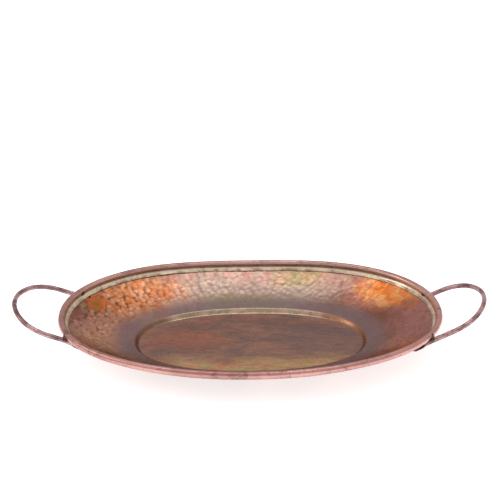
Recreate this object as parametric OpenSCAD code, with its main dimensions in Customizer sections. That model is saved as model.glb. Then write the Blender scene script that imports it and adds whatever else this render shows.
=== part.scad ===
// Oval serving tray of hammered copper sheet with two loop handles.
// +X runs along the long axis, +Y across, +Z up.
// The origin is the centre of the flat underside, so the tray rests on z = 0.

/* [Tray] */
// Length of the pan over its rolled edge
tray_len = 616; // [580:1:700]
// Width of the pan over its rolled edge
tray_wid = 372; // [320:1:420]
// Height of the top of the rolled edge
tray_h = 63; // [50:1:75]
// Squareness of the edge outline, 2 is a true ellipse
tray_square = 2.13; // [2:0.01:2.6]
// Thickness of the copper sheet
sheet = 1.2; // [0.8:0.1:1.6]

/* [Well] */
// Length of the sunk well at the top of its step
well_len = 381; // [300:1:400]
// Width of the sunk well at the top of its step
well_wid = 197; // [150:1:220]
// Squareness of the well outline, 2 is a true ellipse
well_square = 2.2; // [2:0.01:2.6]
// Height of the step round the well
step_h = 7; // [4:0.5:10]
// Slanted run of the step
step_run = 9; // [6:0.5:14]
// Share of the average wall slope that is left at the foot of the wall
cove = 0.5; // [0.3:0.05:0.9]

/* [Rolled edge] */
// Diameter of the wire inside the rolled edge
wire_d = 7.6; // [5:0.1:9]
// Room between the wire and the sheet rolled over it
wire_fit = 0.25; // [0.2:0.05:0.5]
// Width of the hem, from the wire's centre to the raw edge
hem_w = 14; // [12:0.5:18]
// Gap between the hem and the wall it is folded on to
hem_gap = 0.4; // [0.3:0.1:1]
// Dip of the edge in the middle of the back
back_dip = 7; // [0:0.5:10]
// Dip of the edge in the middle of the front
front_dip = 2; // [0:0.5:10]

/* [Handles] */
// Diameter of the handle rod
rod_d = 8; // [6:0.5:10]
// Distance from the rolled edge to the tip of the left loop, along the loop's plane
left_reach = 95.5; // [85:0.5:110]
// Distance from the rolled edge to the tip of the right loop, along the loop's plane
right_reach = 92.5; // [85:0.5:110]
// Distance between the legs of the left handle
left_span = 142; // [120:1:150]
// Distance between the legs of the right handle
right_span = 139; // [120:1:150]
// Upward tilt of the left handle
left_tilt = 20.5; // [10:0.5:26.5]
// Upward tilt of the right handle
right_tilt = 26.5; // [10:0.5:26.5]
// Place of the left handle along the edge, towards +Y
left_shift = 5; // [-15:1:15]
// Place of the right handle along the edge, towards +Y
right_shift = -14; // [-15:1:15]

/* [Handle feet] */
// Slope of the rod ends that lie along the underside of the wall
foot_pitch = 28; // [27:0.5:32]
// Length of each rod end past the rolled edge
foot_len = 34; // [30:1:40]
// Radius of the bend where a rod turns down under the rolled edge
rod_bend = 15; // [8:1:20]
// Width of the flattened end of the rod
pad_w = 14; // [12:0.5:16]
// Thickness of the flattened end of the rod
pad_t = 4; // [3:0.5:5]
// Diameter of the braze bead where a rod passes under the rolled edge
rim_braze_d = 17; // [14:0.5:20]
// Diameter of the braze pool between a flattened end and the wall
foot_braze_d = 20; // [16:0.5:23]

/* [Hidden] */

around = 88;                              // stations round the oval
wire_r = wire_d / 2;
roll_r = wire_r + wire_fit + sheet / 2;   // middle of the sheet in the rolled edge
bead_r = roll_r + sheet / 2;              // outside of the rolled edge
tuck_r = 5;                               // bend where the rolled edge turns down on to the wall
tuck_steps = 4;
hem_h = sheet + hem_gap;                  // middle of the hem above the middle of the wall
tuck_deg = acos((roll_r - hem_h - tuck_r) / (roll_r + tuck_r));
tuck_back = (roll_r + tuck_r) * sin(tuck_deg);
floor_z = sheet / 2;                      // middle of the floor sheet
step_z = floor_z + step_h;                // middle of the sheet at the top of the step
rod_r = rod_d / 2;
seat = 0.15;                              // room left between pieces that are brazed together
pass_r = bead_r + rod_r + seat;           // rod centre from wire centre where it passes under the edge
rod_sides = 20;
face_drop = 0.8;                          // drop from the rod's own top to the face of its flattened end
braze_face = rod_r - face_drop;
bead_z = tray_h - bead_r;                 // height of the wire's centre
left = -1;
right = 1;
back = 1;
front = -1;

// Point at angle a on an oval of the given length, width and squareness
function oval(len, wid, square, a) = [
    len / 2 * sign(cos(a)) * pow(abs(cos(a)), 2 / square),
    wid / 2 * sign(sin(a)) * pow(abs(sin(a)), 2 / square)];
function well_at(a) = oval(well_len, well_wid, well_square, a);
function edge_at(a) = oval(tray_len, tray_wid, tray_square, a);
// Half length of the edge outline at distance y from the long axis
function edge_x(y) = tray_len / 2 * pow(1 - pow(abs(y) / (tray_wid / 2), tray_square), 1 / tray_square);

// A section runs outwards from the top of the step: [distance, height] pairs at one station
function run_at(a) = norm(edge_at(a) - well_at(a));
function top_slope(run) = atan((2 - cove) * (bead_z - roll_r - step_z) / run);
function wire_at(run) = [run - bead_r, bead_z];
function wall_end(run) = wire_at(run) + roll_r * [sin(top_slope(run)), -cos(top_slope(run))];
function wall_at(run, t) = [wall_end(run)[0] * t,
    step_z + (wall_end(run)[1] - step_z) * (cove * t + (1 - cove) * t * t)];
function wall_slope(run, t) = atan((wall_end(run)[1] - step_z) * (cove + 2 * (1 - cove) * t) / wall_end(run)[0]);
// Point of the wall at distance back from where the rolled edge starts, lifted by h
function hem_at(run, back, h) = let (t = 1 - back * cos(top_slope(run)) / wall_end(run)[0])
    wall_at(run, t) + h * [-sin(wall_slope(run, t)), cos(wall_slope(run, t))];
function turned(p, a) = [p[0] * cos(a) - p[1] * sin(a), p[0] * sin(a) + p[1] * cos(a)];

step_path = [for (k = [0:5]) [-step_run * (1 - k / 5), floor_z + step_h * (1 - cos(36 * k)) / 2]];
wall_stations = [0.15, 0.3, 0.45, 0.6, 0.74];
roll_steps = 9;
function wall_path(run) = concat([for (t = wall_stations) wall_at(run, t)],
    [for (b = [hem_w, (hem_w + tuck_back) / 2, tuck_back, 0]) hem_at(run, b, 0)]);
function roll_path(run) = [for (k = [1:roll_steps]) let (a = (360 - tuck_deg) * k / roll_steps)
    wire_at(run) + turned(roll_r * [sin(a), -cos(a)], top_slope(run))];
function tuck_path(run) = [for (k = [1:tuck_steps]) let (a = (180 - tuck_deg) * (1 - k / tuck_steps))
    wire_at(run) + turned([-tuck_back + tuck_r * sin(a), hem_h + tuck_r * (1 - cos(a)) - roll_r], top_slope(run))];
function hem_path(run) = [for (b = [(hem_w + tuck_back) / 2, hem_w]) hem_at(run, b, hem_h)];
function sheet_path(run) = concat(step_path, wall_path(run), roll_path(run), tuck_path(run), hem_path(run));

// The path moved sideways by h, towards the inside of the tray when h is positive
function moved(path, h) = [for (i = [0:len(path) - 1]) let (
    d = path[min(i + 1, len(path) - 1)] - path[max(i - 1, 0)],
    n = i == 0 ? [0, 1] : [-d[1], d[0]] / norm(d)) path[i] + h * n];
function reversed(list) = [for (i = [len(list) - 1:-1:0]) list[i]];
function sheet_section(run) = let (path = sheet_path(run))
    concat(moved(path, -sheet / 2), reversed(moved(path, sheet / 2)));
function wire_section(run) = [for (k = [0:11]) wire_at(run) + wire_r * [sin(30 * k), -cos(30 * k)]];

// The whole rolled edge sags along the long sides, and the sag fades out down the wall
dip_focus = 8;
function dip_at(a) = (sin(a) > 0 ? back_dip : front_dip) * pow(sin(a), dip_focus);
function dip_share(z) = min(1, max(0, (z - step_z) / (bead_z - bead_r - step_z)));

// Section points of the station at angle a, in space
function in_space(section, a) = let (start = well_at(a), out = (edge_at(a) - start) / run_at(a))
    [for (p = section) [start[0] + out[0] * p[0], start[1] + out[1] * p[0], p[1] - dip_at(a) * dip_share(p[1])]];

// Skin between neighbouring stations of m points each, where point j is joined to point j + 1
function skin(m, joined) = [for (i = [0:around - 1], j = [0:joined - 1], half = [0, 1]) let (
    a = i * m + j,
    b = i * m + (j + 1) % m,
    c = (i + 1) % around * m + (j + 1) % m,
    d = (i + 1) % around * m + j) half == 0 ? [a, b, c] : [a, c, d]];

module tray_pan() {
    stations = [for (i = [0:around - 1]) let (a = 360 * i / around) in_space(sheet_section(run_at(a)), a)];
    m = len(stations[0]);
    underside = [for (i = [0:around - 1]) i * m];
    floor_top = [for (i = [around - 1:-1:0]) i * m + m - 1];
    color("peru")
        polyhedron([for (s = stations) each s], concat(skin(m, m - 1), [underside, floor_top]));
}

module rim_wire() {
    stations = [for (i = [0:around - 1]) let (a = 360 * i / around) in_space(wire_section(run_at(a)), a)];
    m = len(stations[0]);
    color("dimgray")
        polyhedron([for (s = stations) each s], skin(m, m));
}

// Handle geometry, on the side where X is positive
function span_of(side) = side == left ? left_span : right_span;
function reach_of(side) = side == left ? left_reach : right_reach;
function tilt_of(side) = side == left ? left_tilt : right_tilt;
function shift_of(side) = side == left ? left_shift : right_shift;
function foot_y(side, end) = shift_of(side) + end * span_of(side) / 2;
function bead_x(side, end) = edge_x(foot_y(side, end)) - bead_r;
function middle_bead_x(side) = (bead_x(side, back) + bead_x(side, front)) / 2;
// The rod turns from the tilt of the loop to the slope of the foot right under the edge
function half_bend(side) = (foot_pitch - tilt_of(side)) / 2;
function line_off(side) = (pass_r + rod_bend) * cos(half_bend(side)) - rod_bend;
function bend_half_len(side) = (pass_r + rod_bend) * sin(half_bend(side));
// Both legs bear on the edge, so the loop rolls a little where the edge curves away
function roll_of(side) = atan((bead_x(side, front) - bead_x(side, back)) * sin(tilt_of(side)) / span_of(side));
function loop_span(side) = span_of(side) / cos(roll_of(side));

// The loop is two corner arcs and a flatter tip arc, in proportion to its span
corner_share = 0.86;
tip_share = 1.08;
corner_deg = acos((1 - corner_share) / (tip_share - corner_share));
function corner_r(side) = corner_share * loop_span(side) / 2;
function tip_r(side) = tip_share * loop_span(side) / 2;
function leg_end(side) = reach_of(side) - corner_r(side) * sin(corner_deg)
    - tip_r(side) * (1 - sin(corner_deg));
function leg_start(side, end) = (bead_x(side, end) - middle_bead_x(side)) * cos(tilt_of(side))
    + bend_half_len(side);

// Point u outwards and v sideways in the plane of the loop, in space
function in_loop(side, u, v) = let (up = v * sin(roll_of(side)), tilt = tilt_of(side)) [
    middle_bead_x(side) + line_off(side) * sin(tilt) + u * cos(tilt) - up * sin(tilt),
    shift_of(side) + v * cos(roll_of(side)),
    bead_z - line_off(side) * cos(tilt) + u * sin(tilt) + up * cos(tilt)];
// Point d outwards and h up from the wire's centre at a crossing, in space
function at_bead(side, end, d, h) = [bead_x(side, end) + d, foot_y(side, end), bead_z + h];
// Point of a rod end at distance d from the crossing, lowered by h from the straight of the rod
function on_foot(side, end, d, h) = at_bead(side, end,
    (line_off(side) + h) * sin(foot_pitch) - d * cos(foot_pitch),
    -(line_off(side) + h) * cos(foot_pitch) - d * sin(foot_pitch));

// Stations of a rod end from its tip: [distance, half width, half thickness], round rod to flat end
flat_len = 16;
taper_len = 10;
nose_width = 0.2;                         // share of the width left at the very tip
nose_loss = 0.3;                          // share of the thickness lost at the very tip
function foot_station(d) = let (
    k = min(1, max(0, (d - foot_len + flat_len + taper_len) / taper_len)),
    share = k * k * (3 - 2 * k),
    nose = max(0, (d - foot_len + pad_w / 2) / (pad_w / 2)),
    w = rod_r + (pad_w / 2 - rod_r) * share,
    t = rod_r + (pad_t / 2 - rod_r) * share) 
        [d, w * sqrt(1 + nose_width * nose_width - nose * nose), t * (1 - nose_loss * nose)];
foot_stops = concat([1, 0.9, 0.7, 0.4, 0], [for (k = [1:7]) -k * 0.5]);
function foot_half(side, end) = [for (stop = foot_stops)
    let (f = foot_station(foot_len - pad_w / 2 * (1 - stop)))
        [on_foot(side, end, f[0], max(0, braze_face - f[2])), f[1], f[2]]];
function bend_half(side, end) = let (mid = (foot_pitch + tilt_of(side)) / 2)
    [for (k = [0:3]) let (a = foot_pitch + (tilt_of(side) - foot_pitch) * k / 3)
        [at_bead(side, end, (pass_r + rod_bend) * sin(mid) - rod_bend * sin(a),
            -(pass_r + rod_bend) * cos(mid) + rod_bend * cos(a)), rod_r, rod_r]];
function loop_half(side, end) = concat(
    [for (k = [0:8]) let (a = corner_deg * k / 8) [in_loop(side, leg_end(side) + corner_r(side) * sin(a),
        end * (loop_span(side) / 2 - corner_r(side) * (1 - cos(a)))), rod_r, rod_r]],
    [for (k = [1:5]) let (a = corner_deg + (90 - corner_deg) * k / 5)
        [in_loop(side, reach_of(side) - tip_r(side) * (1 - sin(a)), end * tip_r(side) * cos(a)), rod_r, rod_r]]);
function rod_half(side, end) = concat(foot_half(side, end), bend_half(side, end), loop_half(side, end));
// The whole rod from its back end to its front end, where the two halves meet at the tip
function rod_line(side) = let (second = reversed(rod_half(side, front)))
    concat(rod_half(side, back), [for (i = [1:len(second) - 1]) second[i]]);

function unit(v) = v / norm(v);
// Elliptical rings along a line of [point, half width, half thickness], closed at both ends
module rod(line, flat) {
    last = len(line) - 1;
    rings = [for (i = [0:last]) let (
        along = unit(line[min(i + 1, last)][0] - line[max(i - 1, 0)][0]),
        wide = unit(cross(flat, along)),
        up = cross(along, wide)) [for (k = [0:rod_sides - 1]) let (a = 360 * k / rod_sides)
            line[i][0] + wide * line[i][1] * cos(a) + up * line[i][2] * sin(a)]];
    sides = [for (i = [0:last - 1], k = [0:rod_sides - 1], half = [0, 1]) let (
        a = i * rod_sides + k,
        b = i * rod_sides + (k + 1) % rod_sides) half == 0 ? [a, a + rod_sides, b + rod_sides]
            : [a, b + rod_sides, b]];
    ends = [[for (k = [0:rod_sides - 1]) k], [for (k = [rod_sides - 1:-1:0]) last * rod_sides + k]];
    polyhedron([for (r = rings) each r], concat(sides, ends));
}

module handle(side)
    mirror([side == left ? 1 : 0, 0, 0])
        rod(rod_line(side), [-sin(tilt_of(side)), 0, cos(tilt_of(side))]);

module left_handle()
    color("rosybrown")
        handle(left);

module right_handle()
    color("rosybrown")
        handle(right);

// Moves children to one crossing of rod and rolled edge: origin at the wire's centre, +X outwards
module at_crossing(side, end)
    mirror([side == left ? 1 : 0, 0, 0])
        translate([bead_x(side, end), foot_y(side, end), bead_z])
            children();

// Everything above the outside of the wall and the rolled edge, near one crossing
block_wall = [0.3, 0.45, 0.6, 0.74, 0.9, 1];
function block_section(run) = let (
    wall = [for (t = block_wall) wall_at(run, t)],
    roll = [for (k = [1:6]) wire_at(run) + turned(roll_r * [sin(30 * k), -cos(30 * k)], top_slope(run))],
    skin_line = moved(concat(wall, roll), -sheet / 2 - seat))
    concat(skin_line, [[wall[0][0], tray_h + 10]]);
module pan_block(side, end) {
    y = foot_y(side, end);
    middle = round(sign(y) * asin(pow(abs(y) / (tray_wid / 2), tray_square / 2)) * around / 360);
    stations = [for (i = [middle - 2:middle + 2])
        let (a = 360 * i / around) in_space(block_section(run_at(a)), a)];
    m = len(stations[0]);
    sides = [for (i = [0:3], j = [0:m - 1], half = [0, 1]) let (
        a = i * m + j,
        b = i * m + (j + 1) % m) half == 0 ? [a, b, b + m] : [a, b + m, a + m]];
    ends = [[for (j = [m - 1:-1:0]) j], [for (j = [0:m - 1]) 4 * m + j]];
    mirror([side == left ? 1 : 0, 0, 0])
        polyhedron([for (s = stations) each s], concat(sides, ends));
}

// The rod near one crossing, grown by the room left for the braze
cutter_len = 16;
module rod_cutter(side, end) {
    r = rod_r + seat;
    mirror([side == left ? 1 : 0, 0, 0])
        rod(concat([[on_foot(side, end, cutter_len, 0), r, r]], [for (p = bend_half(side, end)) [p[0], r, r]],
            [[in_loop(side, leg_end(side), end * loop_span(side) / 2), r, r]]),
            [-sin(tilt_of(side)), 0, cos(tilt_of(side))]);
}

module rim_braze(side, end)
    color("saddlebrown")
        difference() {
            at_crossing(side, end)
                rotate([0, -tilt_of(side), 0])
                    translate([0, 0, -bead_r])
                        hull()
                            sphere(d = rim_braze_d, $fn = 28);
            pan_block(side, end);
            rod_cutter(side, end);
        }

pool_h = 6;
module foot_braze(side, end)
    color("saddlebrown")
        difference() {
            at_crossing(side, end)
                rotate([0, -foot_pitch, 0])
                    translate([pad_w / 2 - foot_len, 0, braze_face + seat - line_off(side)])
                        cylinder(d = foot_braze_d, h = pool_h, $fn = 48);
            pan_block(side, end);
        }

tray_pan();
rim_wire();
left_handle();
right_handle();
rim_braze(left, back);  // left_back_rim_braze
rim_braze(left, front);  // left_front_rim_braze
rim_braze(right, back);  // right_back_rim_braze
rim_braze(right, front);  // right_front_rim_braze
foot_braze(left, back);  // left_back_foot_braze
foot_braze(left, front);  // left_front_foot_braze
foot_braze(right, back);  // right_back_foot_braze
foot_braze(right, front);  // right_front_foot_braze
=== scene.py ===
import math
import random

import bmesh
import bpy
import numpy as np
from mathutils import Matrix, Vector, kdtree, noise
from mathutils.bvhtree import BVHTree


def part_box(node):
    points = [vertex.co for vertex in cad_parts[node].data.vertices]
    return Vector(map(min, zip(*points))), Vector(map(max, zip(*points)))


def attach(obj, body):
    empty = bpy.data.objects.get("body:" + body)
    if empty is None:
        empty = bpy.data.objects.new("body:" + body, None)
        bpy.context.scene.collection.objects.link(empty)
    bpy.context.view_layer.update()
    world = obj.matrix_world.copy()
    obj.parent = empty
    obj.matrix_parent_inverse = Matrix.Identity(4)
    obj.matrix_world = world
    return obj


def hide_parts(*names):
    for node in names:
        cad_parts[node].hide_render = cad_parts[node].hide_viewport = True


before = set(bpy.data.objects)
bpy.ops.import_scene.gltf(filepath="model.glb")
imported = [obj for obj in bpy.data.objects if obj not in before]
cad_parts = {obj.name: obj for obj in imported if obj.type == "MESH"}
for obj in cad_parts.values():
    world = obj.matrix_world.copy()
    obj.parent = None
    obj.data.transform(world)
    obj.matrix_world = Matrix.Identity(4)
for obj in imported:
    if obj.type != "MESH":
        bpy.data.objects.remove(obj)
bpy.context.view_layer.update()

# Oval serving tray of hammered, heat-coloured copper with two forged loop handles.
# Metres, +X along the tray, +Y away from the front, +Z up. The tray stands on z = 0.

_, pan_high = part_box("tray_pan")
MM = 0.001

# The copper sheet and its section, from the centre of the well to the raw edge of the hem
SHEET = 1.2 * MM
WELL_HALF = Vector((190.5, 98.5)) * MM
WELL_SQUARE = 2.2
EDGE_SQUARE = 2.13
STEP_HEIGHT = 7 * MM
STEP_RUN = 9 * MM
COVE = 0.5
ROLL_R = 4.65 * MM
BEAD_R = ROLL_R + SHEET / 2
TUCK_R = 5 * MM
HEM_WIDTH = 14 * MM
HEM_HEIGHT = 1.6 * MM
FLOOR_Z = SHEET / 2
STEP_Z = FLOOR_Z + STEP_HEIGHT
WIRE_Z = pan_high.z - BEAD_R
BACK_DIP = 7 * MM
FRONT_DIP = 2 * MM
DIP_FOCUS = 8

# How finely the sheet is drawn
COLUMNS = 640
FLOOR_ROWS = (0.0, 0.12, 0.3, 0.5, 0.7, 0.87, 1.0)
STEP_ROWS = 8
WALL_ROWS = 52
ROLL_ROWS = 16
TUCK_ROWS = 6
HEM_ROWS = 5
FINE_ANGLES = 4096

# Hammer work: rings of blows on the wall, and small ticks along the hem
SEED = 7
BLOW_RINGS = 14
FIRST_BLOW = 0.10
BLOW_PITCH = 9.2 * MM
BLOW_R = 7.8 * MM
BLOW_DEPTH = 0.85 * MM
BLOW_JITTER = 0.3
RING_JITTER = 0.025
RING_STEP = 0.05
HEM_TICKS = 300
TICK_R = 3.4 * MM
TICK_JITTER = 0.4

# Hand work: how uneven it leaves the sheet, how close the hem lies and how thin its raw edge is
FLOOR_WAVE = 0.25 * MM
EDGE_SWAY = 0.5 * MM
SWAY_RISE = 0.05
ROLL_WAVE = 0.16 * MM
HEM_WANDER = 0.9 * MM
HEM_OPENING = 1.6 * MM
HEM_CLOSED = 0.26 * MM
EDGE_THINNED = 0.55

# The tuck under the rolled edge, and what is left of the hem past it
TUCK_ANGLE = math.acos((ROLL_R - HEM_HEIGHT - TUCK_R) / (ROLL_R + TUCK_R))
TUCK_BACK = (ROLL_R + TUCK_R) * math.sin(TUCK_ANGLE)
HEM_SPAN = HEM_WIDTH - TUCK_BACK
ROLL_ANGLE = 2 * math.pi - TUCK_ANGLE

# Braze: the size and tilt of each kind of bead, and how uneven its molten skin is
RIM_BEAD = Vector((13, 15, 11)) * MM
RIM_TILT = math.radians(24)
RIM_ROUGH = 1.5 * MM
FOOT_POOL = Vector((22, 18, 7)) * MM
FOOT_TILT = math.radians(28)
FOOT_ROUGH = 1.2 * MM
BRAZE_SEAT = 0.1 * MM
CORNERS = [(side, end) for side in ("left", "right") for end in ("back", "front")]

# Forged rods: how deep the hammer flattens them, and the finer unevenness of their skin
ROD_FLAT = 0.42
ROD_SKIN = 0.09

# Camera and stage
CAMERA_PLACE = (-0.0468, -1.5322, 0.9533)
CAMERA_AIM = (0.0264, 0.8898, -0.4555)
LENS = 79.3
STAGE_SIZE = 14.0
FLOOR_GLOW = 0.72
SKY_STRENGTH = 0.85


# ---------------------------------------------------------------- the sheet's section

def oval(half, square, angle):
    c, s = math.cos(angle), math.sin(angle)
    return Vector((math.copysign(abs(c) ** (2 / square), c) * half.x,
                   math.copysign(abs(s) ** (2 / square), s) * half.y))


class Station:
    """The upright section of the sheet at one angle round the tray."""

    def __init__(self, angle):
        deepest = BACK_DIP if math.sin(angle) > 0 else FRONT_DIP
        self.dip = deepest * math.sin(angle) ** DIP_FOCUS
        self.start = oval(WELL_HALF, WELL_SQUARE, angle)
        edge = oval(pan_high.xy, EDGE_SQUARE, angle)
        self.run = (edge - self.start).length
        self.out = (edge - self.start) / self.run
        self.slope = math.atan((2 - COVE) * (WIRE_Z - ROLL_R - STEP_Z) / self.run)
        self.end = Vector((self.run - BEAD_R + ROLL_R * math.sin(self.slope),
                           WIRE_Z - ROLL_R * math.cos(self.slope)))

    def space(self, p):
        sag = self.dip * min(1.0, max(0.0, (p[1] - STEP_Z) / (WIRE_Z - BEAD_R - STEP_Z)))
        return (self.start.x + self.out.x * p[0], self.start.y + self.out.y * p[0], p[1] - sag)

    def floor(self, share):
        x, y, _ = self.space((-STEP_RUN, 0))
        return (x * share, y * share, FLOOR_Z)

    def step(self, share):
        rise = (1 - math.cos(math.pi * share)) / 2
        return self.space((-STEP_RUN * (1 - share), FLOOR_Z + STEP_HEIGHT * rise))

    def wall_point(self, t):
        return Vector((self.end.x * t,
                       STEP_Z + (self.end.y - STEP_Z) * (COVE * t + (1 - COVE) * t * t)))

    def wall(self, t):
        return self.space(self.wall_point(t))

    def turned(self, x, y):
        c, s = math.cos(self.slope), math.sin(self.slope)
        return self.space((self.run - BEAD_R + x * c - y * s, WIRE_Z + x * s + y * c))

    def roll(self, angle):
        return self.turned(ROLL_R * math.sin(angle), -ROLL_R * math.cos(angle))

    def tuck(self, angle):
        return self.turned(-TUCK_BACK + TUCK_R * math.sin(angle),
                           HEM_HEIGHT + TUCK_R * (1 - math.cos(angle)) - ROLL_R)

    def hem(self, back):
        t = 1 - back * math.cos(self.slope) / self.end.x
        slope = math.atan((self.end.y - STEP_Z) * (COVE + 2 * (1 - COVE) * t) / self.end.x)
        p = self.wall_point(t)
        return self.space((p.x - HEM_HEIGHT * math.sin(slope), p.y + HEM_HEIGHT * math.cos(slope)))


def even_angles(count):
    """Angles that space the stations evenly along the middle of the wall."""
    fine = [2 * math.pi * i / FINE_ANGLES for i in range(FINE_ANGLES + 1)]
    mid = [(oval(WELL_HALF, WELL_SQUARE, a) + oval(pan_high.xy, EDGE_SQUARE, a)) / 2 for a in fine]
    length = [0.0]
    for p, q in zip(mid, mid[1:]):
        length.append(length[-1] + (q - p).length)
    return np.interp(np.arange(count) * length[-1] / count, length, fine)


def shares(count, first=0.0, last=1.0):
    return [first + (last - first) * i / count for i in range(count + 1)]


# Rows of the sheet from the centre outwards and back along the hem: (part, value)
ROWS = ([("floor", f) for f in FLOOR_ROWS]
        + [("step", k) for k in shares(STEP_ROWS)[1:]]
        + [("wall", t) for t in shares(WALL_ROWS)[1:]]
        + [("roll", a) for a in shares(ROLL_ROWS, 0.0, ROLL_ANGLE)[1:]]
        + [("tuck", a) for a in shares(TUCK_ROWS, math.pi - TUCK_ANGLE, 0.0)[1:]]
        + [("hem", b) for b in shares(HEM_ROWS, TUCK_BACK, HEM_WIDTH)[1:]])


def coarse(rows, step_by):
    """Every few rows of each part, always with its last row."""
    kept = []
    for part, step in step_by.items():
        own = [i for i in rows if ROWS[i][0] == part]
        kept += sorted(set(own[::-1][::step]))
    return sorted(kept)


# ---------------------------------------------------------------- hammer work

def wall_grid(stations):
    """Middle of the sheet and its normals, as arrays of row, column, xyz."""
    grid = np.array([[getattr(s, part)(value) for s in stations] for part, value in ROWS])
    along = np.gradient(grid, axis=0)
    around = np.roll(grid, -1, axis=1) - np.roll(grid, 1, axis=1)
    normal = np.cross(along, around)
    normal[0] = (0, 0, 1)
    normal /= np.linalg.norm(normal, axis=2, keepdims=True)
    return grid, normal


def blow_places(rng):
    """Centres of the hammer blows on the wall, ring by ring, with their depth."""
    places = []
    for ring in range(BLOW_RINGS):
        t = FIRST_BLOW + (1 - FIRST_BLOW) * (ring + 0.5) / (BLOW_RINGS - 1)
        length = sum((Vector(Station(a).wall(t)) - Vector(Station(a + RING_STEP).wall(t))).length
                     for a in np.arange(0, 2 * math.pi, RING_STEP))
        count = round(length / BLOW_PITCH)
        for i in range(count):
            place = i + 0.5 * (ring % 2) + rng.uniform(-BLOW_JITTER, BLOW_JITTER)
            angle = 2 * math.pi * place / count
            own_t = t + rng.uniform(-RING_JITTER, RING_JITTER)
            fade = min(1.0, max(0.12, (own_t - 0.08) / 0.3))
            places.append((Station(angle).wall(min(own_t, 1.0)),
                           BLOW_DEPTH * fade * rng.uniform(0.78, 1.05), rng.random()))
    return places


def hem_places(rng):
    """Small ticks of the hammer that closed the hem."""
    places = []
    for i in range(HEM_TICKS):
        angle = 2 * math.pi * (i + rng.uniform(-TICK_JITTER, TICK_JITTER)) / HEM_TICKS
        places.append((Station(angle).hem(TUCK_BACK + HEM_SPAN * rng.uniform(0.1, 0.7)),
                       rng.uniform(0.1, 0.3) * MM, rng.random()))
    return places


def dent_field(grid, part_names, places, radius):
    """Depth at each point of the grid, the tone of the blow that shaped it and how far it is off its centre.

    Where blows meet, the deeper one holds, so that a ridge is left between them.
    """
    rows = [i for i, row in enumerate(ROWS) if row[0] in part_names]
    columns = grid.shape[1]
    tree = kdtree.KDTree(len(rows) * columns)
    for i in rows:
        for j in range(columns):
            tree.insert(grid[i, j], i * columns + j)
    tree.balance()
    field = np.zeros(grid.shape[:2])
    tone = np.full(grid.shape[:2], 0.5)
    off_centre = np.ones(grid.shape[:2])
    flat, flat_tone, flat_off = field.reshape(-1), tone.reshape(-1), off_centre.reshape(-1)
    for centre, depth, own_tone in places:
        for _, index, distance in tree.find_range(centre, radius):
            off = (distance / radius) ** 2
            if depth * (1 - off) > flat[index]:
                flat[index] = depth * (1 - off)
                flat_tone[index] = own_tone
                flat_off[index] = off
    return field, tone, off_centre


def drift(p, scale, seed):
    """Smooth noise between about -1 and 1 at one place."""
    return noise.noise(Vector(p) * scale + Vector((seed, 3.1 * seed, 7.7)))


# ---------------------------------------------------------------- meshes

def finish_piece(bm, name, replaced):
    """Turns a bmesh into a piece of the tray that rides on its one body."""
    for face in bm.faces:
        face.smooth = True
    mesh = bpy.data.meshes.new(name)
    bm.to_mesh(mesh)
    bm.free()
    piece = bpy.data.objects.new(name, mesh)
    bpy.context.scene.collection.objects.link(piece)
    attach(piece, "root")
    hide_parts(*replaced)
    return piece


def uneven(grid, normal, depth):
    """How far each point of the sheet is moved by the hammer, the hand and the closing of the hem."""
    shift = depth[..., None] * normal
    for i, (part, value) in enumerate(ROWS):
        for j in range(COLUMNS):
            p = grid[i, j]
            if part == "floor":
                shift[i, j, 2] += FLOOR_WAVE * drift(p, 14, 2) * (1 - value ** 4)
            elif part == "hem":
                share = (value - TUCK_BACK) / HEM_SPAN
                open_here = max(0.0, drift(p, 12, 9) - 0.25) * HEM_OPENING
                shift[i, j] += normal[i, j] * share * (HEM_CLOSED - open_here)
                outward = p[:2] / np.linalg.norm(p[:2])
                shift[i, j, :2] += outward * HEM_WANDER * drift(p, 30, 4) * share
            sway = EDGE_SWAY * drift((p[0], p[1], 0), 9, 5)
            shift[i, j, 2] += sway * min(1.0, max(0.0, (p[2] - STEP_Z) / SWAY_RISE))
            if part in ("roll", "tuck"):
                shift[i, j] += normal[i, j] * ROLL_WAVE * drift(p, 90, 6)
    return shift


def wall_mark(part, value):
    """-2 on the floor, -1 to 0 up the step, 0 to 1 up the wall and 1 past its top."""
    if part == "floor":
        return -2.0
    if part == "step":
        return value - 1
    return value if part == "wall" else 1.0


def hem_mark(part, value):
    """0 up to the last quarter of the roll, then up to 0.5 at the tuck, and 1 on the hem."""
    if part == "roll":
        return 0.5 * min(1.0, max(0.0, value / ROLL_ANGLE - 0.72) / 0.28)
    return {"tuck": 0.5, "hem": 1.0}.get(part, 0.0)


def half_sheet(part, value, side):
    """Half the sheet's thickness, less towards the raw edge on the face that lies on the wall."""
    if part == "hem" and side < 0:
        return SHEET / 2 * (1 - 2 * EDGE_THINNED * ((value - TUCK_BACK) / HEM_SPAN) ** 2)
    return SHEET / 2


def spun_disc(count):
    """A flat disc whose points lie in rings: ring k has the radius 1 + k."""
    bm = bmesh.new()
    spots = [bm.verts.new((1 + k, 0, 0)) for k in range(count)]
    edges = [bm.edges.new(pair) for pair in zip(spots, spots[1:])]
    bmesh.ops.spin(bm, geom=spots + edges, cent=(0, 0, 0), axis=(0, 0, 1), dvec=(0, 0, 0),
                   angle=2 * math.pi, steps=COLUMNS, use_merge=True, use_duplicate=False)
    return bm


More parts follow.
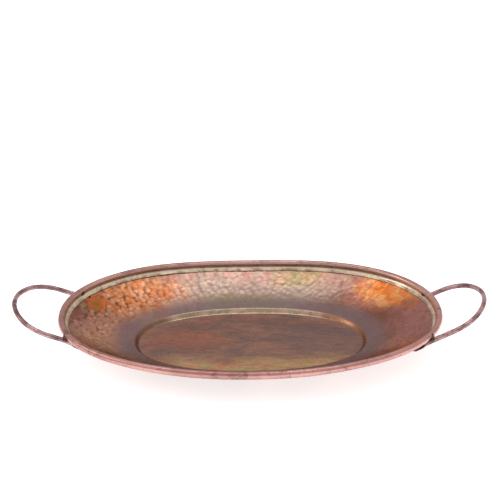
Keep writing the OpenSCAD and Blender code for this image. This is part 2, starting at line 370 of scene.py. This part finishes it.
def make_pan():
    """The pan, and its outside skin for the brazes to lie against."""
    rng = random.Random(SEED)
    stations = [Station(a) for a in even_angles(COLUMNS)]
    grid, normal = wall_grid(stations)
    wall, tone, off_centre = dent_field(grid, ("wall",), blow_places(rng), BLOW_R)
    hem, _, _ = dent_field(grid, ("hem", "tuck"), hem_places(rng), TICK_R)
    middle = grid + uneven(grid, normal, hem - wall)

    rows = range(len(ROWS))
    outside = coarse(rows, {"floor": 2, "step": 2, "wall": 2, "roll": 1, "tuck": 1, "hem": 1})
    inside = coarse(rows, {"floor": 1, "step": 1, "wall": 1, "roll": 2, "tuck": 3, "hem": 3})
    line = [(i, -1) for i in outside] + [(i, 1) for i in reversed(inside)]

    # Each ring of a flat disc is one row of one face of the sheet, and each point goes to its place there
    bm = spun_disc(len(line))
    layers = bm.verts.layers.float
    wall_share = layers.new("wall_share")
    hem_share = layers.new("hem_share")
    inner_face = layers.new("inner_face")
    blow_tone = layers.new("blow_tone")
    blow_edge = layers.new("blow_edge")
    for v in bm.verts:
        i, side = line[round(v.co.xy.length - 1)]
        j = round(math.atan2(v.co.y, v.co.x) / (2 * math.pi) * COLUMNS) % COLUMNS
        part, value = ROWS[i]
        v.co = Vector(middle[i, j] + normal[i, j] * side * half_sheet(part, value, side))
        v[wall_share] = wall_mark(part, value)
        v[hem_share] = hem_mark(part, value)
        v[inner_face] = float(side == 1)
        v[blow_tone] = tone[i, j]
        v[blow_edge] = off_centre[i, j]
    bmesh.ops.remove_doubles(bm, verts=bm.verts, dist=1e-6)
    bmesh.ops.recalc_face_normals(bm, faces=bm.faces)
    spots = {v: k for k, v in enumerate(v for v in bm.verts if v[inner_face] == 0)}
    skin = [[spots[v] for v in face.verts] for face in bm.faces if all(v in spots for v in face.verts)]
    outside_skin = BVHTree.FromPolygons([v.co.copy() for v in spots], skin)
    return finish_piece(bm, "hammered_pan", ["tray_pan"]), outside_skin


def merged_copy(node):
    """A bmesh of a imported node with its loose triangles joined."""
    bm = bmesh.new()
    bm.from_mesh(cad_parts[node].data)
    bmesh.ops.remove_doubles(bm, verts=bm.verts, dist=2e-6)
    return bm


def make_handle(side):
    """The forged rod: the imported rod's rings, rounded and given the unevenness of hand forging."""
    bm = merged_copy(side + "_handle")
    bmesh.ops.join_triangles(bm, faces=bm.faces, angle_face_threshold=1.0, angle_shape_threshold=3.1)
    mesh = bpy.data.meshes.new("rough")
    bm.to_mesh(mesh)
    bm.free()
    rough = bpy.data.objects.new("rough", mesh)
    bpy.context.scene.collection.objects.link(rough)
    rounding = rough.modifiers.new("rounding", "SUBSURF")
    rounding.levels = rounding.render_levels = 2
    bpy.context.view_layer.update()
    done = rough.evaluated_get(bpy.context.evaluated_depsgraph_get())
    bm = bmesh.new()
    bm.from_mesh(done.to_mesh())
    bpy.data.objects.remove(rough)
    bm.normal_update()
    # Painted shade mask: how far each point of the rod faces down, used to darken its underside
    underside = bm.verts.layers.float.new("underside")
    for v in bm.verts:
        mark = max(0.0, drift(v.co, 75, 1)) * -ROD_FLAT + drift(v.co, 240, 2) * ROD_SKIN
        v.co += v.normal * mark * MM
        v[underside] = max(0.0, min(1.0, 0.35 - v.normal.z + 0.3 * drift(v.co, 60, 3)))
    return finish_piece(bm, side + "_loop_handle", [side + "_handle"])


def make_braze(node, name, size, tilt, rough, seed, outside_skin):
    """A bead of braze where a packed one lies: a ball with a molten skin, pressed against the pan."""
    low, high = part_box(node)
    bm = bmesh.new()
    bmesh.ops.create_icosphere(bm, subdivisions=5, radius=0.5)
    bmesh.ops.scale(bm, vec=Vector(size), verts=bm.verts)
    bmesh.ops.rotate(bm, verts=bm.verts, matrix=Matrix.Rotation(tilt, 3, "Y"))
    bm.normal_update()
    for v in bm.verts:
        v.co += v.normal * rough * (drift(v.co, 120, seed) + 0.35 * drift(v.co, 430, seed + 1))
    bmesh.ops.translate(bm, verts=bm.verts, vec=(low + high) / 2)
    for v in bm.verts:
        near, normal, _, _ = outside_skin.find_nearest(v.co)
        if (v.co - near).dot(normal) < BRAZE_SEAT:
            v.co = near + normal * BRAZE_SEAT
    return finish_piece(bm, name, [node])


def make_brazes(outside_skin):
    """At each corner of the tray, a bead under the rolled edge and a pool at the rod's end."""
    pieces = []
    for count, (side, end) in enumerate(CORNERS):
        turn = -1 if side == "right" else 1
        rim = f"{side}_{end}_rim_braze"
        pieces.append(make_braze(rim, rim + "_bead", RIM_BEAD, turn * RIM_TILT, RIM_ROUGH,
                                 11 + 5 * count, outside_skin))
        foot = f"{side}_{end}_foot_braze"
        pieces.append(make_braze(foot, foot + "_pool", FOOT_POOL, turn * FOOT_TILT, FOOT_ROUGH,
                                 41 + 5 * count, outside_skin))
    return pieces


# ---------------------------------------------------------------- node groups

def new_group(name, inputs, outputs):
    """An empty node group; inputs and outputs are (name, socket type, default)."""
    group = bpy.data.node_groups.new(name, "ShaderNodeTree")
    for socket, kind, default in inputs:
        made = group.interface.new_socket(socket, in_out="INPUT", socket_type=kind)
        if default is not None:
            made.default_value = default
    for socket, kind in outputs:
        group.interface.new_socket(socket, in_out="OUTPUT", socket_type=kind)
    return group, Nodes(group)


class Nodes:
    """Short ways to place and join nodes in one tree."""

    def __init__(self, tree):
        self.tree = tree
        self.count = 0

    def add(self, kind, links=None, **settings):
        node = self.tree.nodes.new(kind)
        node.location = (200 * (self.count % 12), -260 * (self.count // 12))
        self.count += 1
        for key, value in settings.items():
            setattr(node, key, value)
        for key, value in (links or {}).items():
            self.join(value, node.inputs[key])
        return node

    def join(self, value, socket):
        if isinstance(value, bpy.types.NodeSocket):
            self.tree.links.new(value, socket)
        else:
            socket.default_value = value

    def math(self, operation, a, b=0.5):
        return self.add("ShaderNodeMath", {0: a, 1: b}, operation=operation).outputs[0]

    def vmath(self, operation, a, b=(0, 0, 0)):
        node = self.add("ShaderNodeVectorMath", {0: a, 1: b}, operation=operation)
        return node.outputs["Value" if operation == "LENGTH" else "Vector"]

    def noise(self, vector, scale, detail=3.0, roughness=0.55, distortion=0.0):
        return self.add("ShaderNodeTexNoise", {"Vector": vector, "Scale": scale, "Detail": detail,
                                               "Roughness": roughness, "Distortion": distortion})

    def span(self, value, low, high, to_low=0.0, to_high=1.0):
        """A smooth change from one value to another while the input goes from low to high."""
        node = self.add("ShaderNodeMapRange", {"Value": value, "From Min": low, "From Max": high,
                                               "To Min": to_low, "To Max": to_high},
                        interpolation_type="SMOOTHSTEP")
        return node.outputs[0]

    def mix(self, factor, a, b, blend="MIX"):
        node = self.add("ShaderNodeMix", data_type="RGBA", blend_type=blend)
        self.join(factor, node.inputs[0])
        for socket, value in ((node.inputs[6], a), (node.inputs[7], b)):
            self.join((*value, 1.0) if isinstance(value, tuple) and len(value) == 3 else value, socket)
        return node.outputs[2]

    def over(self, base, mask, strength, colour):
        """A colour laid over another one where the mask is, at some strength."""
        return self.mix(self.math("MULTIPLY", mask, strength), base, colour)

    def attribute(self, name):
        return self.add("ShaderNodeAttribute", attribute_name=name).outputs["Fac"]

    def object_place(self):
        return self.add("ShaderNodeTexCoord").outputs["Object"]

    def ramp(self, value, stops):
        node = self.add("ShaderNodeValToRGB", {"Fac": value})
        ramp = node.color_ramp
        while len(ramp.elements) < len(stops):
            ramp.elements.new(0.5)
        for element, (place, colour) in zip(ramp.elements, stops):
            element.position = place
            element.color = (*colour, 1.0)
        return node.outputs["Color"]

    def use(self, group, **links):
        node = self.add("ShaderNodeGroup")
        node.node_tree = group
        for key, value in links.items():
            self.join(value, node.inputs[key])
        return node


def patch_group():
    """A soft-edged, ragged patch of one heat colour: 1 at its centre, 0 outside its size."""
    group, n = new_group("heat_patch", [("Vector", "NodeSocketVector", None),
                                        ("Centre", "NodeSocketVector", None),
                                        ("Size", "NodeSocketVector", (0.05, 0.05, 0.05)),
                                        ("Ragged", "NodeSocketFloat", 0.4),
                                        ("Soft", "NodeSocketFloat", 0.6)],
                         [("Mask", "NodeSocketFloat")])
    io = n.add("NodeGroupInput")
    away = n.vmath("SUBTRACT", io.outputs["Vector"], io.outputs["Centre"])
    way = n.vmath("DIVIDE", away, io.outputs["Size"])
    grain = n.noise(io.outputs["Vector"], 34.0, 4.0, 0.62).outputs["Fac"]
    wander = n.math("MULTIPLY", n.math("SUBTRACT", grain, 0.5), io.outputs["Ragged"])
    reach = n.math("ADD", n.vmath("LENGTH", way), n.math("MULTIPLY", wander, 2.4))
    inner = n.math("SUBTRACT", 1.0, io.outputs["Soft"])
    mask = n.span(reach, inner, 1.0, 1.0, 0.0)
    n.add("NodeGroupOutput", {"Mask": mask})
    return group


def film_group():
    """Oxide film colours that drift over the metal: gold, rose, violet and green."""
    group, n = new_group("oxide_film", [("Vector", "NodeSocketVector", None),
                                        ("Scale", "NodeSocketFloat", 14.0)],
                         [("Color", "NodeSocketColor"), ("Mask", "NodeSocketFloat")])
    io = n.add("NodeGroupInput")
    film = n.noise(io.outputs["Vector"], io.outputs["Scale"], 4.0, 0.6, 0.6).outputs["Fac"]
    colour = n.ramp(film, [(0.30, (0.30, 0.13, 0.08)), (0.40, (0.45, 0.20, 0.15)),
                           (0.47, (0.50, 0.34, 0.13)), (0.54, (0.25, 0.30, 0.14)),
                           (0.60, (0.30, 0.17, 0.24)), (0.70, (0.55, 0.26, 0.17))])
    patches = n.noise(io.outputs["Vector"], 21.0, 2.0, 0.5).outputs["Fac"]
    n.add("NodeGroupOutput", {"Color": colour, "Mask": n.span(patches, 0.45, 0.68)})
    return group


def skin_group():
    """Fine planishing marks, scratches and pits: a height for bump and a mask for roughness."""
    group, n = new_group("worked_skin", [("Vector", "NodeSocketVector", None),
                                         ("Scale", "NodeSocketFloat", 1.0)],
                         [("Height", "NodeSocketFloat"), ("Dull", "NodeSocketFloat")])
    io = n.add("NodeGroupInput")
    place = n.vmath("SCALE", io.outputs["Vector"])
    n.join(io.outputs["Scale"], place.node.inputs["Scale"])
    marks = n.add("ShaderNodeTexVoronoi", {"Vector": place, "Scale": 170.0, "Randomness": 1.0},
                  feature="SMOOTH_F1").outputs["Distance"]
    fine = n.noise(place, 900.0, 3.0, 0.6).outputs["Fac"]
    broad = n.noise(place, 60.0, 4.0, 0.6).outputs["Fac"]
    height = n.math("ADD", n.math("MULTIPLY", marks, 0.8), n.math("MULTIPLY", fine, 0.25))
    n.add("NodeGroupOutput", {"Height": height, "Dull": broad})
    return group


PATCH, FILM, SKIN = patch_group(), film_group(), skin_group()


# ---------------------------------------------------------------- materials

def new_material(name):
    material = bpy.data.materials.new(name)
    material.use_nodes = True
    material.node_tree.nodes.clear()
    n = Nodes(material.node_tree)
    return material, n


def close_material(n, colour, roughness, height, strength, distance, metallic=1.0):
    bump = n.add("ShaderNodeBump", {"Height": height, "Strength": strength, "Distance": distance})
    shader = n.add("ShaderNodeBsdfPrincipled", {"Base Color": colour, "Roughness": roughness,
                                                "Metallic": metallic, "Normal": bump.outputs["Normal"]})
    n.add("ShaderNodeOutputMaterial", {"Surface": shader.outputs["BSDF"]})


ORANGE = (0.62, 0.19, 0.06)
TAN = (0.72, 0.36, 0.20)
ROSE = (0.44, 0.19, 0.16)
BROWN = (0.27, 0.105, 0.072)
FRONT_SHADE_BROWN = (0.25, 0.082, 0.055)
DARK_BROWN = (0.13, 0.052, 0.036)
VIOLET_GREY = (0.255, 0.18, 0.185)
OLIVE = (0.38, 0.30, 0.12)
SALMON = (0.72, 0.38, 0.34)
PALE = (0.55, 0.42, 0.345)
PALE_ROSE = (0.66, 0.44, 0.38)
BLUSH = (0.62, 0.30, 0.24)
DULL_TAN = (0.46, 0.27, 0.20)
HOT_ORANGE = (0.84, 0.24, 0.055)
HOT_TAN = (0.95, 0.42, 0.17)
BLOOM_ORANGE = (0.62, 0.15, 0.03)
BLOOM_GREEN = (0.24, 0.19, 0.07)
# How far each heat bloom lies from the middle of its braze, in millimetres, and how strong it is
BLOOMS = {("left", "back"): ((3, -11, -4), 1.0), ("right", "back"): ((-2, -5, -4), 0.4),
          ("left", "front"): ((6, 20, -4), 0.3), ("right", "front"): ((-4, 20, -4), 0.3)}


def wall_patch(n, p, x, y, z, size, ragged=0.5, soft=0.6):
    """Mask of a patch. Its centre is a share of the pan's half length and half width, and a height."""
    centre = (x * pan_high.x, y * pan_high.y, z)
    return n.use(PATCH, Vector=p, Centre=centre, Size=size, Ragged=ragged, Soft=soft).outputs["Mask"]


def wall_colour(n, p, share, cloud, clouds):
    """The wall: rose and brown drift into each other, with patches left by the torch and painted shade at
    the front corners.
    """
    wall = n.mix(n.span(clouds, 0.38, 0.62), BROWN, ROSE)
    film = n.use(FILM, Vector=p, Scale=13.0)
    wall = n.over(wall, film.outputs["Mask"], 0.45, film.outputs["Color"])
    torch = n.mix(n.span(cloud, 0.38, 0.62), ORANGE, TAN)
    right_torch = n.mix(n.span(cloud, 0.38, 0.62), HOT_ORANGE, HOT_TAN)

    # From the middle of the back to its ends
    wall = n.over(wall, wall_patch(n, p, 0.0, 0.72, 0.03, (0.22, 0.075, 0.07), 0.4), 0.75, PALE)
    wall = n.over(wall, wall_patch(n, p, -0.46, 0.60, 0.02, (0.075, 0.035, 0.05)), 0.85, PALE_ROSE)
    wall = n.over(wall, wall_patch(n, p, -0.60, 0.55, 0.03, (0.12, 0.08, 0.06)), 0.9, torch)
    wall = n.over(wall, wall_patch(n, p, 0.45, 0.80, 0.04, (0.06, 0.03, 0.05)), 0.6, DULL_TAN)
    wall = n.mix(wall_patch(n, p, 0.82, 0.54, 0.04, (0.10, 0.055, 0.06), 0.35), wall, right_torch)

    # Smaller stains
    wall = n.over(wall, wall_patch(n, p, -0.76, -0.05, 0.03, (0.06, 0.07, 0.06), 0.6), 0.5, TAN)
    wall = n.over(wall, wall_patch(n, p, 0.28, 0.84, 0.04, (0.06, 0.025, 0.05), 0.7), 0.7, OLIVE)
    wall = n.over(wall, wall_patch(n, p, -0.02, 0.60, 0.01, (0.10, 0.02, 0.05), 0.7), 0.6, OLIVE)
    blush = n.math("MULTIPLY", wall_patch(n, p, 0.05, 0.88, 0.05, (0.20, 0.03, 0.05), 0.7),
                   n.span(cloud, 0.40, 0.62))
    wall = n.over(wall, blush, 0.75, BLUSH)
    # Painted shade: the front corners of the wall darkened to brown
    for x in (-0.66, 0.66):
        wall = n.over(wall, wall_patch(n, p, x, -0.55, 0.03, (0.10, 0.06, 0.06), 0.6), 0.85, FRONT_SHADE_BROWN)
    cove = n.span(share, 0.12, 0.40, 1.0, 0.0)
    return n.over(wall, cove, 0.75, VIOLET_GREY)


def struck_colour(n, p, share, wall):
    """Each hammer blow keeps its own tone; a painted highlight lightens the middle of the paler blows, and
    the ridges between blows are darker.
    """
    tone = n.attribute("blow_tone")
    off_centre = n.attribute("blow_edge")
    clear_patch = wall_patch(n, p, -0.62, 0.25, 0.03, (0.15, 0.14, 0.08), 0.3, 0.7)
    clear = n.math("ADD", 0.25, n.math("MULTIPLY", clear_patch, 0.75))
    struck = n.span(share, 0.2, 0.5)
    # Painted highlight: the middle of the paler blows lightened by half again
    painted_highlight = n.math("MULTIPLY", n.span(tone, 0.4, 1.0), n.span(off_centre, 0.3, 0.05))
    highlight_colour = n.mix(1.0, wall, (1.5, 1.5, 1.5), "MULTIPLY")
    wall = n.over(wall, n.math("MULTIPLY", struck, painted_highlight), clear, highlight_colour)
    # Darker along the ridges between blows
    ridge = n.math("MULTIPLY", struck, n.span(off_centre, 0.2, 0.52, 0.0, 0.8))
    return n.over(wall, ridge, clear, DARK_BROWN)


def bloomed_colour(n, p, wall):
    """Rings of heat colour where the rod ends were brazed on outside."""
    for (side, end), (offset, strong) in BLOOMS.items():
        low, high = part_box(f"{side}_{end}_foot_braze")
        at = tuple((low + high) / 2 + Vector(offset) * MM)
        ring = n.use(PATCH, Vector=p, Centre=at, Size=(0.021, 0.019, 0.03), Ragged=0.3, Soft=0.5)
        eye = n.use(PATCH, Vector=p, Centre=at, Size=(0.009, 0.008, 0.02), Ragged=0.25, Soft=0.7)
        wall = n.over(wall, ring.outputs["Mask"], 0.9 * strong, BLOOM_ORANGE)
        wall = n.over(wall, eye.outputs["Mask"], 0.85 * strong, BLOOM_GREEN)
    return wall


def floor_colour(n, p, front):
    """The floor of the well: rubbed and clouded, redder at the left and greener at the front."""
    stretched = n.add("ShaderNodeMapping", {"Vector": p, "Scale": (1.0, 3.0, 1.0)}).outputs["Vector"]
    strokes = n.noise(stretched, 12.0, 6.0, 0.66, 0.3).outputs["Fac"]
    fine = n.noise(stretched, 60.0, 4.0, 0.65).outputs["Fac"]
    floor = n.mix(n.span(strokes, 0.40, 0.60), (0.29, 0.185, 0.155), (0.45, 0.235, 0.175))
    left = wall_patch(n, p, -0.32, 0.04, 0.0, (0.09, 0.045, 0.05), 0.6)
    floor = n.over(floor, left, 0.55, (0.50, 0.19, 0.12))
    right = wall_patch(n, p, 0.38, 0.02, 0.0, (0.09, 0.07, 0.05), 0.5)
    floor = n.over(floor, right, 0.5, (0.28, 0.19, 0.18))
    streaks = n.ramp(strokes, [(0.36, (0.55, 0.25, 0.17)), (0.45, (0.80, 0.38, 0.20)),
                               (0.52, (0.60, 0.50, 0.21)), (0.60, (0.88, 0.43, 0.25))])
    floor = n.over(floor, front, 0.85, streaks)
    return n.mix(n.span(fine, 0.35, 0.65, 0.22, 0.0), floor, DARK_BROWN)


def step_colour(n, p, share, cloud, front):
    """The step: cream and olive along the back, orange-brown round the ends, with painted highlight lines
    along its top and foot and painted shade at the front.
    """
    step = n.mix(n.span(cloud, 0.40, 0.60), (0.60, 0.40, 0.30), (0.36, 0.29, 0.17))
    # Painted highlight: near-white lines along the top and the foot of the step
    painted_edge_highlight = n.span(n.math("ABSOLUTE", n.math("ADD", share, 0.5)), 0.28, 0.46)
    step = n.over(step, painted_edge_highlight, 0.8, (0.95, 0.78, 0.62))
    left_end = wall_patch(n, p, -0.62, 0.0, 0.0, (0.10, 0.12, 0.08), 0.3, 0.5)
    step = n.over(step, left_end, 0.9, (0.24, 0.115, 0.07))
    right_end = wall_patch(n, p, 0.62, 0.1, 0.0, (0.10, 0.12, 0.08), 0.3, 0.5)
    step = n.over(step, right_end, 0.9, (0.36, 0.15, 0.08))
    # Painted shade: the front of the step darkened to brown
    return n.over(step, front, 0.7, BROWN)


def edge_colour(n, hem, cloud, clouds):
    """The rolled edge: salmon and rose with dark spots, paler towards the hem."""
    edge = n.mix(n.span(clouds, 0.35, 0.7), (0.50, 0.25, 0.22), SALMON)
    edge = n.mix(n.span(cloud, 0.52, 0.70, 0.0, 0.65), edge, (0.22, 0.11, 0.095))
    return n.mix(n.span(hem, 0.0, 0.4, 0.0, 0.95), edge, (0.93, 0.80, 0.66))


def pan_material():
    material, n = new_material("heat_coloured_sheet")
    p = n.object_place()
    share = n.attribute("wall_share")
    hem = n.attribute("hem_share")
    inner = n.attribute("inner_face")
    y = n.add("ShaderNodeSeparateXYZ", {0: p}).outputs["Y"]
    front = n.span(y, -0.025, -0.08)
    back = n.span(y, -0.08, 0.06)
    clouds = n.noise(p, 11.0, 4.0, 0.6, 0.4).outputs["Fac"]
    cloud = n.noise(p, 46.0, 4.0, 0.62, 0.5).outputs["Fac"]

    wall = wall_colour(n, p, share, cloud, clouds)
    wall = struck_colour(n, p, share, wall)
    wall = bloomed_colour(n, p, wall)
    floor = floor_colour(n, p, front)
    step = step_colour(n, p, share, cloud, front)
    colour = n.mix(n.span(share, -1.5, -0.98), floor, step)
    colour = n.mix(n.span(share, -0.35, 0.0), colour, wall)

    # Rolled edge and hem
    rolled = n.span(share, 0.985, 1.0)
    colour = n.mix(rolled, colour, edge_colour(n, hem, cloud, clouds))
    hem_tone = n.mix(n.span(cloud, 0.38, 0.60), (0.36, 0.23, 0.16), (0.80, 0.62, 0.42))
    hem_strength = n.math("ADD", n.math("MULTIPLY", back, 0.6), 0.3)
    colour = n.over(colour, n.span(hem, 0.2, 0.9), hem_strength, hem_tone)

    # The outside below the roll, darkened as painted shade, and fine dark specks everywhere
    outside_shade = n.mix(n.span(clouds, 0.4, 0.62), (0.20, 0.085, 0.065), (0.36, 0.17, 0.135))
    outside = n.math("MULTIPLY", n.math("SUBTRACT", 1.0, inner), n.math("SUBTRACT", 1.0, rolled))
    colour = n.mix(outside, colour, outside_shade)
    speckle = n.noise(p, 260.0, 3.0, 0.6).outputs["Fac"]
    colour = n.mix(n.span(speckle, 0.54, 0.72, 0.0, 0.4), colour, DARK_BROWN)

    skin = n.use(SKIN, Vector=p, Scale=1.0)
    roughness = n.math("ADD", n.span(skin.outputs["Dull"], 0.3, 0.7, 0.24, 0.38),
                       n.span(share, -1.5, -1.0, 0.12, 0.0))
    close_material(n, colour, roughness, skin.outputs["Height"], 0.35, 0.0006)
    return material


def rod_material():
    material, n = new_material("forged_rod")
    p = n.object_place()
    tone = n.noise(p, 52.0, 5.0, 0.66).outputs["Fac"]
    colour = n.mix(n.span(tone, 0.36, 0.64), (0.24, 0.115, 0.12), (0.66, 0.41, 0.42))
    # Painted shade: the rod darkened to near black where it faces down
    painted_rod_shade = n.attribute("underside")
    colour = n.mix(n.span(painted_rod_shade, 0.25, 0.95, 0.0, 0.9), colour, (0.085, 0.042, 0.042))
    scale = n.noise(p, 420.0, 3.0, 0.6).outputs["Fac"]
    colour = n.mix(n.span(scale, 0.50, 0.68, 0.0, 0.6), colour, (0.15, 0.075, 0.07))
    skin = n.use(SKIN, Vector=p, Scale=1.6)
    roughness = n.span(skin.outputs["Dull"], 0.3, 0.7, 0.28, 0.45)
    close_material(n, colour, roughness, skin.outputs["Height"], 0.5, 0.0005)
    return material


def braze_material():
    material, n = new_material("burnt_braze")
    p = n.object_place()
    tone = n.noise(p, 160.0, 4.0, 0.6).outputs["Fac"]
    colour = n.mix(n.span(tone, 0.4, 0.65), (0.055, 0.032, 0.028), (0.30, 0.16, 0.11))
    skin = n.use(SKIN, Vector=p, Scale=2.4)
    roughness = n.span(tone, 0.35, 0.65, 0.62, 0.42)
    close_material(n, colour, roughness, skin.outputs["Height"], 0.6, 0.0006, metallic=0.8)
    return material


def wire_material():
    material, n = new_material("drawn_wire")
    p = n.object_place()
    tone = n.noise(p, 200.0, 3.0, 0.6).outputs["Fac"]
    colour = n.mix(tone, (0.20, 0.19, 0.18), (0.36, 0.35, 0.34))
    skin = n.use(SKIN, Vector=p, Scale=2.0)
    roughness = n.span(tone, 0.3, 0.7, 0.35, 0.5)
    close_material(n, colour, roughness, skin.outputs["Height"], 0.3, 0.0004)
    return material


def dress(piece, material):
    piece.data.materials.clear()
    piece.data.materials.append(material)


# ---------------------------------------------------------------- stage

def make_stage():
    bm = bmesh.new()
    bmesh.ops.create_grid(bm, x_segments=1, y_segments=1, size=STAGE_SIZE)
    mesh = bpy.data.meshes.new("studio_floor")
    bm.to_mesh(mesh)
    bm.free()
    floor = bpy.data.objects.new("studio_floor", mesh)
    bpy.context.scene.collection.objects.link(floor)
    material, n = new_material("pale_floor")
    p = n.object_place()
    tone = n.noise(p, 3.0, 2.0).outputs["Fac"]
    colour = n.mix(tone, (0.93, 0.93, 0.93), (0.96, 0.96, 0.96))
    shader = n.add("ShaderNodeBsdfPrincipled", {"Base Color": colour, "Roughness": 0.9,
                                                "Emission Color": colour, "Emission Strength": FLOOR_GLOW})
    n.add("ShaderNodeOutputMaterial", {"Surface": shader.outputs["BSDF"]})
    dress(floor, material)


def soft_light(name, place, aim, size, power):
    data = bpy.data.lights.new(name, "AREA")
    data.shape = "RECTANGLE"
    data.size, data.size_y = size
    data.energy = power
    light = bpy.data.objects.new(name, data)
    bpy.context.scene.collection.objects.link(light)
    light.location = place
    light.rotation_mode = "QUATERNION"
    light.rotation_quaternion = (Vector(aim) - Vector(place)).to_track_quat("-Z", "Y")


def make_light():
    world = bpy.data.worlds.new("studio")
    bpy.context.scene.world = world
    world.use_nodes = True
    world.node_tree.nodes.clear()
    n = Nodes(world.node_tree)
    direction = n.add("ShaderNodeTexCoord").outputs["Generated"]
    height = n.add("ShaderNodeSeparateXYZ", {0: direction}).outputs["Z"]
    colour = n.ramp(height, [(0.0, (0.58, 0.57, 0.57)), (0.35, (0.69, 0.68, 0.68)),
                             (0.9, (0.84, 0.84, 0.84))])
    shade = n.add("ShaderNodeBackground", {"Color": colour, "Strength": SKY_STRENGTH})
    n.add("ShaderNodeOutputWorld", {"Surface": shade.outputs["Background"]})
    soft_light("overhead_box", (0.0, 0.15, 1.9), (0, 0.1, 0), (1.3, 0.5), 3.2)
    soft_light("left_window", (-1.9, -0.3, 1.3), (-0.1, 0, 0), (1.0, 1.2), 7)


def make_camera():
    data = bpy.data.cameras.new("camera")
    data.sensor_width = 36.0
    data.lens = LENS
    camera = bpy.data.objects.new("camera", data)
    bpy.context.scene.collection.objects.link(camera)
    camera.location = CAMERA_PLACE
    camera.rotation_mode = "QUATERNION"
    camera.rotation_quaternion = Vector(CAMERA_AIM).to_track_quat("-Z", "Y")
    data.clip_start, data.clip_end = 0.05, 40.0
    bpy.context.scene.camera = camera


make_camera()
make_light()
make_stage()
bpy.context.scene.view_settings.view_transform = "Standard"

sheet_copper = pan_material()
rod_copper = rod_material()
braze = braze_material()
wire = wire_material()
pan, pan_outside = make_pan()
dress(pan, sheet_copper)
for side in ("left", "right"):
    dress(make_handle(side), rod_copper)
for piece in make_brazes(pan_outside):
    dress(piece, braze)
dress(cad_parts["rim_wire"], wire)
